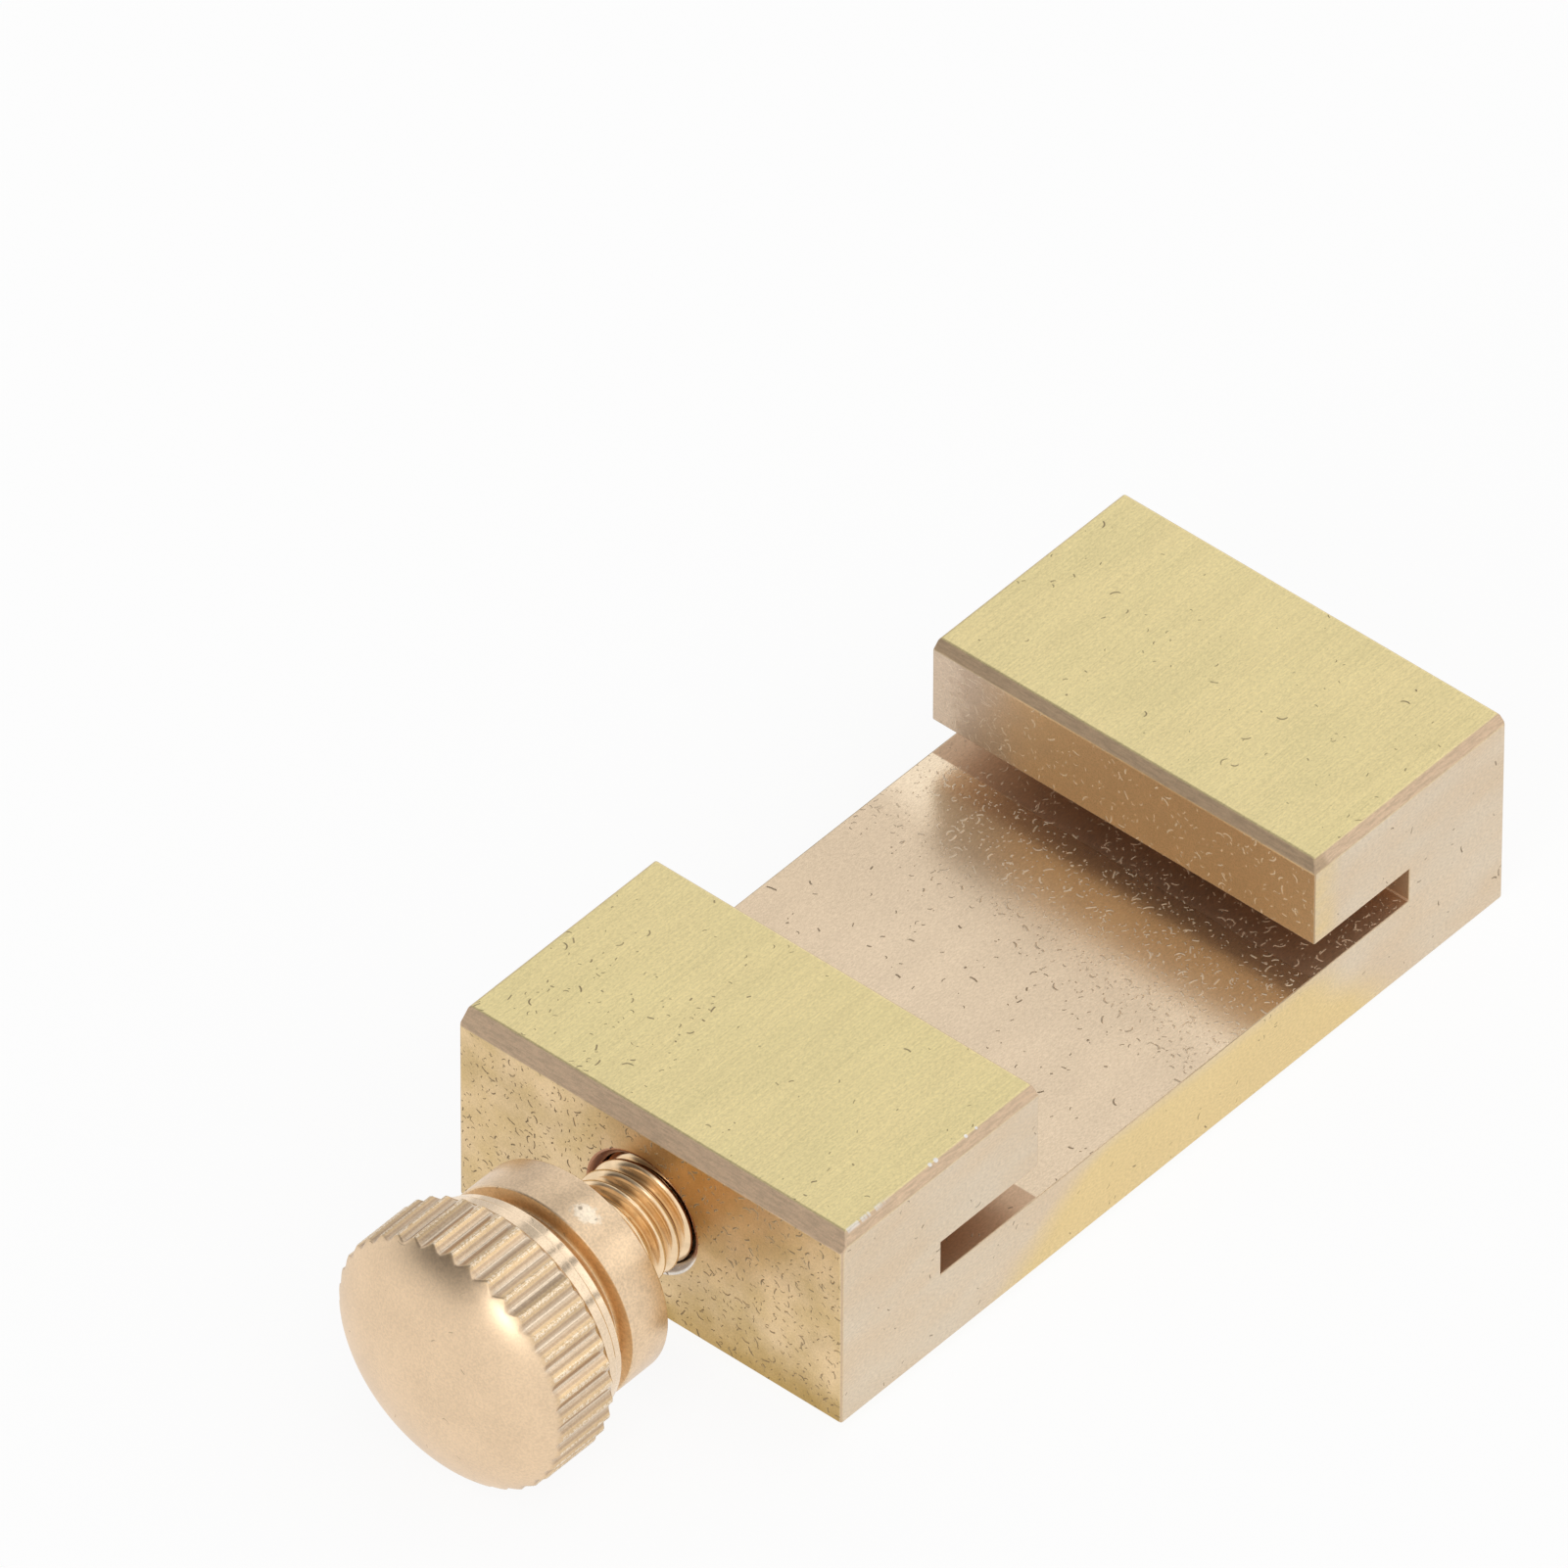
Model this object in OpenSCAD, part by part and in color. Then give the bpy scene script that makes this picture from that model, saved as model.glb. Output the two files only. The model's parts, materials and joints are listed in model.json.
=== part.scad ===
// Scribing positioning block: a brass block that grips a flat rule in two facing slots, and a
// thumb screw through one end wall that presses on the edge of the rule.
// The block lies on its back. +X runs along the rule, the screw is at the -Y end, and +Z points
// out of the open channel. The origin is the middle of the flat back. Lengths are millimetres.

/* [Block] */
// Width of the block, along the rule
block_w = 20; // [14:0.5:30]
// Height from the flat back to the tops of the jaws
block_h = 9.85; // [9:0.05:14]
// Solid end wall that the screw goes through
near_wall_t = 5.95; // [4:0.05:10]
// Solid end wall at the far end
far_wall_t = 5.85; // [4:0.05:10]
// Reach of each jaw over its slot
jaw_reach = 5.85; // [3:0.05:9]
// Clear gap between the two jaws
jaw_gap = 16.75; // [10:0.05:30]
// Metal under the channel
floor_t = 3.9; // [3:0.05:4.5]
// Height of the two slots that the rule slides in
slot_h = 1.75; // [1:0.05:2.5]

/* [Edges] */
// Bevel along the top edge of the end with the screw
end_bevel = 0.65; // [0.2:0.05:1]
// Bevel along the inner top edge of the far jaw
jaw_bevel = 0.4; // [0.1:0.05:0.8]
// Bevel along the top edge of the right side
side_bevel = 0.4; // [0.1:0.05:0.8]
// Fine bevel that breaks every other outer edge
edge_break = 0.1; // [0.05:0.01:0.3]

/* [Screw place] */
// How far the screw stands off the middle of the width
screw_offset = -0.4; // [-2:0.05:2]
// Height of the screw's axis over the middle of the slots
screw_rise = 0.3; // [-0.3:0.05:0.5]
// Space between the end of the block and the collar, as the screw is drawn
screw_gap = 4.05; // [0.5:0.05:6]
// Running clearance around the thread
thread_clearance = 0.05; // [0.02:0.01:0.1]
// Bevel around the mouth of the screw hole
mouth_bevel = 0.3; // [0.1:0.05:0.6]

/* [Thread] */
// Outside diameter of the thread
thread_d = 5; // [4:0.1:5.6]
// Distance from one turn of the thread to the next
thread_pitch = 0.8; // [0.5:0.05:1]
// Depth of the thread
thread_depth = 0.45; // [0.2:0.05:0.5]
// How far the screw reaches into the slot when its collar meets the end of the block
screw_reach = 4.05; // [2:0.05:6]
// Length of the plain point beyond the thread
point_l = 1; // [0.5:0.1:2]
// Bevel around the end of the point
point_bevel = 0.3; // [0.1:0.05:0.6]

/* [Thumb screw head] */
// Diameter of the plain collar
collar_d = 9.85; // [9:0.05:11]
// Length of the plain collar
collar_l = 2.1; // [1:0.05:4]
// Fine bevel on both rims of the collar
collar_bevel = 0.12; // [0.05:0.01:0.3]
// Diameter of the neck where the head meets the collar
neck_d = 7.95; // [6:0.05:8.5]
// Diameter of the first of the two turned bands at the back of the head
band_d = 10.2; // [9:0.05:10.4]
// How far the second band stands proud of the first
band_step = 0.2; // [0.1:0.02:0.3]
// Length of the cone between the collar and the first band
cone_l = 0.9; // [0.5:0.05:2]
// Length of the first band
first_band_l = 0.46; // [0.2:0.02:1]
// Length of the second band
second_band_l = 0.64; // [0.2:0.02:1]
// Length of the bevel at the back of the teeth
rim_bevel_l = 0.3; // [0.1:0.05:0.6]
// How far that bevel starts inside the bottoms of the grooves
rim_step = 0.1; // [0.05:0.01:0.3]
// Diameter over the tips of the knurl
head_d = 11.8; // [11.6:0.1:16]
// Length of the knurled rim
knurl_l = 2.5; // [1.5:0.1:5]
// Depth of the grooves of the knurl
knurl_depth = 0.3; // [0.2:0.02:0.5]
// Number of teeth around the knurl
knurl_teeth = 38; // [24:1:60]
// Height of the smooth dome
dome_h = 2.1; // [1:0.05:4]

/* [Hidden] */
$fn = 64;
// Overrun of every cut past the face that it opens
overrun = block_h / 10;

// Places along the block, from the end with the screw
block_l = near_wall_t + jaw_reach + jaw_gap + jaw_reach + far_wall_t;
near_end = -block_l / 2;
far_end = block_l / 2;
near_slot = near_end + near_wall_t;
near_jaw = near_slot + jaw_reach;
far_jaw = near_jaw + jaw_gap;
far_slot = far_jaw + jaw_reach;
slot_top = floor_t + slot_h;

// The screw's hole
screw_height = floor_t + slot_h / 2 + screw_rise;
bore_r = thread_d / 2 + thread_clearance;
mouth_r = bore_r + mouth_bevel;
// Half the angle of the drill's point
drill_half_angle = 59;

// The thread and the point
thread_l = near_wall_t + screw_reach - point_l;
root_r = thread_d / 2 - thread_depth;
point_r = root_r;
thread_sides = 32;
// Where along one pitch the flank starts to rise, the crest starts, the crest ends, and the root
// starts, and the radius at each
thread_phase_shares = [0, 0.375, 0.5, 0.875];
thread_radii = [root_r, thread_d / 2, thread_d / 2, root_r];
thread_rows = len(thread_phase_shares);
// Turns that the thread starts before its own length, and all its spare turns
lead_turns = 1.5;
spare_turns = 4;

// The head
head_r = head_d / 2;
valley_r = head_r - knurl_depth;
first_band = collar_l + cone_l;
second_band = first_band + first_band_l;
second_band_r = band_d / 2 + band_step;
rim_foot = second_band + second_band_l;
rim_start = rim_foot + rim_bevel_l;
dome_start = rim_start + knurl_l;
tooth_angle = 360 / knurl_teeth;
// Share of each tooth that its flat tip takes
tip_share = 0.16;
// The walls of the grooves run on past the rim, so that the rim itself cuts the tips
wall_run_share = 1.1;
dome_steps = 16;
// Powers that shape the dome: flat in the middle and round at the rim
dome_flat = 2;
dome_round = 2.4;

// Outline of the block seen from its side, along the rule, with Y across and Z up
side_outline = [
    [near_end + edge_break, 0],
    [far_end - edge_break, 0],
    [far_end, edge_break],
    [far_end, block_h - edge_break],
    [far_end - edge_break, block_h],
    [far_jaw + jaw_bevel, block_h],
    [far_jaw, block_h - jaw_bevel],
    [far_jaw, slot_top],
    [far_slot, slot_top],
    [far_slot, floor_t],
    [near_slot, floor_t],
    [near_slot, slot_top],
    [near_jaw, slot_top],
    [near_jaw, block_h - edge_break],
    [near_jaw - edge_break, block_h],
    [near_end + end_bevel, block_h],
    [near_end, block_h - end_bevel],
    [near_end, edge_break]
];

// Outline that turns into the head's envelope: radius first, then distance out from the collar's
// thread side
function dome_r(i) = head_r * cos(90 * i / dome_steps);
function dome_rise(r) = dome_h * pow(1 - pow(r / head_r, dome_flat), 1 / dome_round);
head_outline = concat(
    [
        [0, collar_l],
        [neck_d / 2, collar_l],
        [band_d / 2, first_band],
        [band_d / 2, second_band],
        [second_band_r, second_band],
        [second_band_r, rim_foot],
        [valley_r - rim_step, rim_foot],
        [head_r, rim_start]
    ],
    [for (i = [0 : dome_steps - 1]) [dome_r(i), dome_start + dome_rise(dome_r(i))]],
    [[0, dome_start + dome_h]]
);

// A rectangle with its corners broken, centred across its width. The last value is the bevel of the
// corner on the right at the high end.
function broken(w, low, high, high_right) = [
    [-w / 2 + edge_break, low],
    [w / 2 - edge_break, low],
    [w / 2, low + edge_break],
    [w / 2, high - high_right],
    [w / 2 - high_right, high],
    [-w / 2 + edge_break, high],
    [-w / 2, high - edge_break],
    [-w / 2, low + edge_break]
];

// Puts a shape that was drawn outwards along +Z onto the screw's axis, outwards along -Y
module on_screw_axis(y) {
    translate([screw_offset, y, screw_height])
        rotate([90, 0, 0])
            children();
}

// The drilled hole: a bevelled mouth, a plain bore through the near jaw, and the drill's point
module screw_hole() {
    bore_l = near_wall_t + jaw_reach;
    on_screw_axis(near_end) {
        translate([0, 0, -bore_l])
            cylinder(r = bore_r, h = bore_l + overrun);
        translate([0, 0, -mouth_bevel])
            cylinder(r1 = bore_r, r2 = mouth_r, h = mouth_bevel);
        cylinder(r = mouth_r, h = overrun);
    }
    on_screw_axis(near_jaw)
        rotate([180, 0, 0])
            cylinder(r1 = bore_r, r2 = 0, h = bore_r / tan(drill_half_angle));
}

module block_body() {
    color([0.86, 0.76, 0.5])
        difference() {
            intersection() {
                rotate([90, 0, 90])
                    translate([0, 0, -block_w / 2])
                        linear_extrude(block_w)
                            polygon(side_outline);
                rotate([90, 0, 0])
                    translate([0, 0, -block_l / 2])
                        linear_extrude(block_l)
                            polygon(broken(block_w, 0, block_h, side_bevel));
                linear_extrude(block_h)
                    polygon(broken(block_w, near_end, far_end, edge_break));
            }
            screw_hole();
        }
}

// A right-hand thread. Its rows of points climb with the helix, one row for each corner of its
// section, and start and end more than half a turn outside the length that is used.
function thread_turns(l) = ceil(l / thread_pitch) + spare_turns;
function thread_height(i, row) = thread_pitch * (
    floor(row / thread_rows) + thread_phase_shares[row % thread_rows] + i / thread_sides - lead_turns
);
// The point past the last side is the first one again, a turn further up
function thread_point(i, row) =
    i < thread_sides ? row * thread_sides + i : (row + thread_rows) * thread_sides;
// The ring of points that closes one end: once around, then back along the start of the rows
function thread_ring(row) = concat(
    [for (i = [0 : thread_sides]) thread_point(i, row)],
    [for (k = [thread_rows - 1 : -1 : 1]) thread_point(0, row + k)]
);

module thread(l) {
    rows = thread_rows * thread_turns(l);
    last = rows - thread_rows - 1;
    points = [
        for (row = [0 : rows - 1], i = [0 : thread_sides - 1])
            let (a = 360 * i / thread_sides, r = thread_radii[row % thread_rows])
            [r * cos(a), r * sin(a), thread_height(i, row)]
    ];
    ends = [[0, 0, thread_height(0, 0)], [0, 0, thread_height(thread_sides, last)]];
    walls = [
        for (row = [0 : last - 1], i = [0 : thread_sides - 1])
            each [
                [thread_point(i, row), thread_point(i + 1, row + 1), thread_point(i + 1, row)],
                [thread_point(i, row), thread_point(i, row + 1), thread_point(i + 1, row + 1)]
            ]
    ];
    low = thread_ring(0);
    high = thread_ring(last);
    n = len(low);
    low_cap = [for (j = [0 : n - 1]) [len(points), low[j], low[(j + 1) % n]]];
    high_cap = [for (j = [0 : n - 1]) [len(points) + 1, high[(j + 1) % n], high[j]]];
    intersection() {
        polyhedron(concat(points, ends), concat(walls, low_cap, high_cap));
        cylinder(r = thread_d, h = l);
    }
}

// Bottom of a groove of the knurl, and the top corner of a tooth on the side of that groove
function on_circle(r, a) = r * [cos(a), sin(a)];
function valley(i) = on_circle(valley_r, tooth_angle * i);
function tooth_corner(i, side) =
    let (
        foot = valley(i),
        tip = on_circle(head_r, tooth_angle * (i + side * (1 - tip_share) / 2))
    )
    foot + wall_run_share * (tip - foot);

// Domed head with a straight knurl around its rim
module knurled_head() {
    intersection() {
        rotate_extrude()
            polygon(head_outline);
        linear_extrude(dome_start + dome_h)
            polygon([
                for (i = [0 : knurl_teeth - 1])
                    each [tooth_corner(i, -1), valley(i), tooth_corner(i, 1)]
            ]);
    }
}

module collar() {
    rotate_extrude()
        polygon([
            [0, 0],
            [collar_d / 2 - collar_bevel, 0],
            [collar_d / 2, collar_bevel],
            [collar_d / 2, collar_l - collar_bevel],
            [collar_d / 2 - collar_bevel, collar_l],
            [0, collar_l]
        ]);
}

module thumb_screw() {
    color([0.89, 0.76, 0.6])
        on_screw_axis(near_end - screw_gap) {
            knurled_head();
            collar();
            // The thread is rooted in the middle of the collar
            translate([0, 0, -thread_l])
                thread(thread_l + collar_l / 2);
        }
}

// The plain end of the screw, which pushes on the edge of the rule. It is drawn apart from the rest
// of the screw because only its travel shows: being round, it looks the same at every turn.
module screw_point() {
    color([0.83, 0.68, 0.38])
        on_screw_axis(near_end - screw_gap)
            translate([0, 0, -thread_l - point_l])
                rotate_extrude()
                    polygon([
                        [0, 0],
                        [point_r - point_bevel, 0],
                        [point_r, point_bevel],
                        [point_r, point_l],
                        [0, point_l]
                    ]);
}

block_body();
thumb_screw();
screw_point();
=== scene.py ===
"""A brass scribing block and its thumb screw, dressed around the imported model.

Lengths are metres and the frame is the model's own: the block lies on its back with +X along its two
slots, the thumb screw at the -Y end and +Z out of the channel.
"""
import json
import math

import bmesh
import bpy
from mathutils import Matrix, Vector

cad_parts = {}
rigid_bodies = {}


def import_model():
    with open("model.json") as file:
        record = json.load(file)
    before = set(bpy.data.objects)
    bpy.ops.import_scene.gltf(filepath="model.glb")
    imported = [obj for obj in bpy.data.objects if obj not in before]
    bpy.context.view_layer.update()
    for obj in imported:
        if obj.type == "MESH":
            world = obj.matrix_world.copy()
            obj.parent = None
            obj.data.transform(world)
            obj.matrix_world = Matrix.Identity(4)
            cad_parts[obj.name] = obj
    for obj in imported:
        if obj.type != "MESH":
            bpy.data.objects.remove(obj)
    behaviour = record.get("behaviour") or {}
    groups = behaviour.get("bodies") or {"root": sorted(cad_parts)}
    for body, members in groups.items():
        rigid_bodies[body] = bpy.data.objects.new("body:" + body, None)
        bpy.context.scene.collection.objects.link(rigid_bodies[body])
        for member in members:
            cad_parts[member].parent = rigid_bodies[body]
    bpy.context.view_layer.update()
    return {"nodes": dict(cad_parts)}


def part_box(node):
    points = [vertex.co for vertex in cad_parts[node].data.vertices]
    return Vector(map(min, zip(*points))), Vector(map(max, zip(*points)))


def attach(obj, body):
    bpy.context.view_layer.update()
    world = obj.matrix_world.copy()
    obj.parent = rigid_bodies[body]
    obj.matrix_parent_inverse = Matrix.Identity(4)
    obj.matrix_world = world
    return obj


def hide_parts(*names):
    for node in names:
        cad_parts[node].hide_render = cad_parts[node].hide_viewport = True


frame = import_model()
MM = 0.001
MM_IN_METRE = 1000

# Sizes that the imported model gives
BLOCK_LOW, BLOCK_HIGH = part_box("block_body")
SCREW_LOW, SCREW_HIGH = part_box("thumb_screw")
POINT_LOW, POINT_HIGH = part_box("screw_point")
AXIS_X = (POINT_LOW.x + POINT_HIGH.x) / 2
AXIS_Z = (POINT_LOW.z + POINT_HIGH.z) / 2
ROOT_R = (POINT_HIGH.z - POINT_LOW.z) / 2
RIM_R = SCREW_HIGH.z - AXIS_Z
DOME_TIP = SCREW_LOW.y
THREAD_END = POINT_LOW.y
POINT_END = POINT_HIGH.y

# The screw, from its collar outwards
COLLAR_R, COLLAR_L = 4.925 * MM, 2.1 * MM
NECK_R, CONE_L = 3.975 * MM, 0.9 * MM
BAND_R, FIRST_BAND_L = 5.1 * MM, 0.46 * MM
BAND_STEP, SECOND_BAND_L = 0.2 * MM, 0.64 * MM
RIM_BEVEL_L = 0.3 * MM
KNURL_L = 2.825 * MM
RIM_FOOT_R = 5.5 * MM
DOME_H = 1.775 * MM
DOME_FLAT, DOME_ROUND = 2, 1.35
TEETH = 38
GROOVE_DEPTH = 0.25 * MM
CREST_SHARE = 0.04
CREST_ROUND = 0.03 * MM
VALLEY_ROUND = 0.09 * MM
CORNER_ROUND = 0.08 * MM
BANDS_L = CONE_L + FIRST_BAND_L + SECOND_BAND_L
HEAD_L = COLLAR_L + BANDS_L + RIM_BEVEL_L + KNURL_L + DOME_H
COLLAR_Y = DOME_TIP + HEAD_L

# The thread, from half way into the collar to its last turn, which fades, and the plain end behind it
THREAD_R, THREAD_PITCH = 2.5 * MM, 0.8 * MM
# Parts of half a pitch at which a ridge leaves the root and reaches its crest
RIDGE_FOOT, RIDGE_TOP = 0.1, 0.9
# How fast the last turn fades, and the share of the root's radius that it fades to
FADE_SLOPE = 0.8
FADED_SHARE = 0.98
BURIED = COLLAR_L / 2
SPARE_TURNS, LEAD_TURNS = 2, 1.5
END_BEVEL, END_ROUND = 0.3 * MM, 0.06 * MM

# The block's eased edges, and the angle under which faces are one flat face
EASE = 0.06 * MM
EASE_STEPS = 2
EASE_ANGLE = math.radians(25)
FLAT_ANGLE = math.radians(0.5)
# Faces of the block smaller than this area are shaded as parts of a curve
LEAST_FLAT = 3 * MM * MM

# How finely the turned pieces are made
DOME_ROWS, COLUMNS_PER_TOOTH = 48, 12
THREAD_SIDES = 64
THREAD_ROWS = 9
END_SIDES = 96
# An outline's corner becomes an arc of so many steps where it turns more than the least angle. The arc
# takes up to this share of the sides that meet there
ARC_STEPS = 3
LEAST_TURN = math.radians(8)
LONGEST_SETBACK = 1 / 2.5
# The ring that an outline is swept along, and the distances at which points become one, in Geometry
# Nodes and in a mesh
RING_R = 1.0 * MM
MERGE = 0.001 * MM
WELD = 0.0005 * MM

# The photographed view
CAMERA_AZIMUTH = 40.89
CAMERA_ELEVATION = 43.03
CAMERA_ROLL = 0.19
CAMERA_DISTANCE = 1.42005
CAMERA_LENS = 827.3
SENSOR = 36
CLIP = (0.1, 20)
# How far the middle of the picture lies right of and above the foot of the near end
AIM_RIGHT, AIM_UP = 5.2935 * MM, 20.697 * MM

# The table: half its width, its paint, and how much of it is plain white when looked at
TABLE_HALF = 3.0
TABLE_PAINT = (0.98, 0.98, 0.98, 1)
TABLE_WHITE = 0.9


class Sock:
    """A node's output. Arithmetic on it adds the Math nodes that the expression needs."""

    def __init__(self, graph, socket):
        self.graph, self.socket = graph, socket

    def sibling(self, name):
        return Sock(self.graph, self.socket.node.outputs[name])

    def __add__(self, other):
        return self.graph.math("ADD", self, other)

    def __radd__(self, other):
        return self.graph.math("ADD", other, self)

    def __sub__(self, other):
        return self.graph.math("SUBTRACT", self, other)

    def __rsub__(self, other):
        return self.graph.math("SUBTRACT", other, self)

    def __mul__(self, other):
        return self.graph.math("MULTIPLY", self, other)

    def __rmul__(self, other):
        return self.graph.math("MULTIPLY", other, self)

    def __truediv__(self, other):
        return self.graph.math("DIVIDE", self, other)

    def __rtruediv__(self, other):
        return self.graph.math("DIVIDE", other, self)

    def __pow__(self, other):
        return self.graph.math("POWER", self, other)

    def __abs__(self):
        return self.graph.math("ABSOLUTE", self)


class Graph:
    """The nodes of one material, world or geometry tree."""

    def __init__(self, tree):
        self.tree = tree

    def add(self, kind, settings=None, values=None, out=0):
        """A node of any kind: its settings first, then its sockets. Gives the output named out."""
        node = self.tree.nodes.new(kind)
        for name, value in (settings or {}).items():
            setattr(node, name, value)
        for name, value in (values or {}).items():
            if isinstance(value, Sock):
                self.tree.links.new(value.socket, node.inputs[name])
            else:
                node.inputs[name].default_value = value
        return Sock(self, node.outputs[out]) if len(node.outputs) else node

    def math(self, operation, *values, clamp=False):
        settings = {"operation": operation, "use_clamp": clamp}
        return self.add("ShaderNodeMath", settings, dict(enumerate(values)))

    def least(self, a, b):
        return self.math("MINIMUM", a, b)

    def most(self, first, *others):
        for other in others:
            first = self.math("MAXIMUM", first, other)
        return first

    def clamp(self, value):
        return self.math("ADD", value, 0, clamp=True)

    def distance(self, *offsets):
        """How far away a place is, from its offsets along each axis."""
        squares = [offset * offset for offset in offsets]
        return self.math("SQRT", sum(squares[1:], squares[0]))

    def draw(self, a, b, weights):
        """A new random number from two others."""
        return self.math("FRACT", a * weights[0] + b * weights[1])

    def step(self, value, low, high):
        """0 below low and 1 above high, smooth between them. Falls where high is below low."""
        if low > high:
            return 1 - self.step(value, high, low)
        sockets = {"Value": value, "From Min": low, "From Max": high}
        settings = {"interpolation_type": "SMOOTHSTEP"}
        return self.add("ShaderNodeMapRange", settings, sockets, "Result")

    def vector(self, x, y, z):
        return self.add("ShaderNodeCombineXYZ", None, {"X": x, "Y": y, "Z": z})

    def split(self, vector):
        x = self.add("ShaderNodeSeparateXYZ", None, {"Vector": vector}, "X")
        return x, x.sibling("Y"), x.sibling("Z")

    def choose(self, factor, a, b):
        """A number between a and b."""
        values = {"Factor": factor, "A": a, "B": b}
        return self.add("ShaderNodeMix", {"data_type": "FLOAT"}, values, "Result")

    def mix(self, factor, a, b, blend="MIX"):
        """A colour between a and b."""
        settings = {"data_type": "RGBA", "blend_type": blend, "clamp_factor": True}
        a = a if isinstance(a, Sock) else (*a, 1)
        b = b if isinstance(b, Sock) else (*b, 1)
        return self.add("ShaderNodeMix", settings, {"Factor": factor, 6: a, 7: b}, 2)

    def shaded(self, colour, shade):
        """The colour, brighter or darker."""
        return self.mix(1.0, colour, self.vector(shade, shade, shade), "MULTIPLY")

    def noise(self, vector, scale, detail, rough):
        values = {"Vector": vector, "Scale": scale, "Detail": detail, "Roughness": rough}
        return self.add("ShaderNodeTexNoise", None, values, "Fac")

    def texture(self, place, stretch, scale, detail, rough):
        """Noise over a place in millimetres, each axis multiplied by its own stretch."""
        axes = [axis if share == 1 else axis * share for axis, share in zip(place, stretch)]
        return self.noise(self.vector(*axes), scale, detail, rough)

    def bump(self, height, strength, distance, normal=None):
        values = {"Height": height, "Strength": strength, "Distance": distance}
        if normal is not None:
            values["Normal"] = normal
        return self.add("ShaderNodeBump", None, values, "Normal")


def total(amounts, values):
    """The plain amount, and each other amount times the value of the same name."""
    whole = amounts["plain"]
    for name, value in values.items():
        whole = whole + amounts[name] * value
    return whole


def new_material(name):
    material = bpy.data.materials.new(name)
    material.use_nodes = True
    material.node_tree.nodes.clear()
    return material, Graph(material.node_tree)


def metal(graph, colour, roughness, normal, metallic=1.0):
    """Closes a material with a metallic surface."""
    values = {"Base Color": colour, "Roughness": roughness, "Metallic": metallic, "Normal": normal}
    surface = graph.add("ShaderNodeBsdfPrincipled", None, values)
    graph.add("ShaderNodeOutputMaterial", None, {"Surface": surface})


def places(graph):
    """Place on the piece in millimetres, and the direction that its surface faces."""
    place = graph.add("ShaderNodeTexCoord", None, None, "Object")
    millimetres = tuple(axis * MM_IN_METRE for axis in graph.split(place))
    return millimetres, graph.split(place.sibling("Normal"))


# Colours of the block. The top, side and end colours are copies of one brass, each tinted for the light
# its face reflects: painted reflection
TOP_REFLECTION_BRASS = (0.875, 0.745, 0.39)
TOP_REFLECTION_WARM = (0.905, 0.76, 0.40)
SIDE_REFLECTION_BRASS = (0.785, 0.665, 0.51)
SIDE_REFLECTION_WARM = (0.78, 0.62, 0.44)
SIDE_YELLOW = (0.86, 0.66, 0.31)
END_REFLECTION_BRASS = (0.665, 0.485, 0.235)
END_REFLECTION_WARM = (0.81, 0.605, 0.355)
# Painted shade, low on the ends
END_SHADE = (0.46, 0.285, 0.06)
FLOOR_BRASS = (0.82, 0.655, 0.47)
# Painted dark reflection along the floor's -X side
FLOOR_DARK_REFLECTION = (0.62, 0.455, 0.30)
FLOOR_PALE = (1.0, 0.82, 0.60)
JAW_BRASS = (0.87, 0.60, 0.33)
JAW_GREY = (0.66, 0.51, 0.38)
JAW_WORN = (0.90, 0.76, 0.60)
JAW_EDGE = (0.66, 0.50, 0.34)
BEVEL_BRASS = (0.82, 0.635, 0.455)
# Painted shade inside the slots
SLOT_SHADE_BROWN = (0.68, 0.46, 0.30)
# Painted shade in the mouth of the screw's hole
HOLE_SHADE_BROWN = (0.42, 0.20, 0.11)
BURR_SILVER = (0.80, 0.74, 0.66)
# Painted glints on nicks and chips in the top edge
GLINT_WHITE = (0.96, 0.92, 0.86)
LINT = (0.20, 0.145, 0.085)
PALE_LINT = (0.90, 0.75, 0.55)

# Colours of the screw. The knurl's flank colours are painted reflection and painted shade
SCREW_BRASS = (0.84, 0.63, 0.42)
FLANK_SHADE_BRASS = (0.46, 0.28, 0.14)
FLANK_GOLD_REFLECTION = (0.79, 0.565, 0.325)
FLANK_GREY_REFLECTION = (0.66, 0.51, 0.37)
GAP_BRASS = (0.84, 0.63, 0.41)
# Painted highlight, on the worn crests, the bands, the rubbed patch and the groove's foot
HIGHLIGHT_BRASS = (0.97, 0.84, 0.67)
THREAD_BRASS = (0.88, 0.66, 0.42)
THREAD_ROOT = (0.66, 0.38, 0.16)

# Noise patterns: the stretch of each axis, scale, detail and roughness. A shift or layer moves one away
# from another
EVEN = (1, 1, 1)
GRAIN = ((8, 4, 8), 1.6, 3, 0.75)
STREAK = ((10, 0.3, 10), 1.0, 2, 0.6)
FIBRE = ((9, 3.5, 9), 1.4, 3, 0.75)
CLOUD = ((1, 0.5, 1), 0.45, 2, 0.5)
WARMTH = ((1, 0.4, 1), 0.50, 3, 0.5)
WARMTH_SHIFT = 40
MILLED = ((1.3, 12, 1), 1.0, 3, 0.7)
RUBBED = ((1, 1, 1.6), 1.3, 4, 0.65)
RUBBED_LAYER = 5.5
CHIPPED = ((1, 1.6, 1), 1.0, 2, 0.6)
RINGS = ((16, 16, 1), 1.0, 3, 0.6)
SCREW_CLOUD = (EVEN, 0.5, 2, 0.5)
SPECKLE = (EVEN, 9.0, 2, 0.7)
BLOTCH = (EVEN, 1.3, 4, 0.65)
RAGGED = (EVEN, 3.0, 3, 0.7)
TOOL_LINES = ((22, 3, 1), 1.0, 2, 0.6)
THREAD_CLOUD = (EVEN, 1.6, 2, 0.5)
# The usual range of a pattern, which is spread from 0 to 1, and its middle
SPREAD = (0.3, 0.7)
MIDDLE = 0.5

# Hairs lie in clusters: a cluster's pattern and edge, and how many lie in it and outside it
CLUSTER = (0.35, 1, 0.5)
CLUSTER_EDGE = (0.40, 0.62)
CLUSTERED = 1.9
STRAY = 0.12
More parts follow.
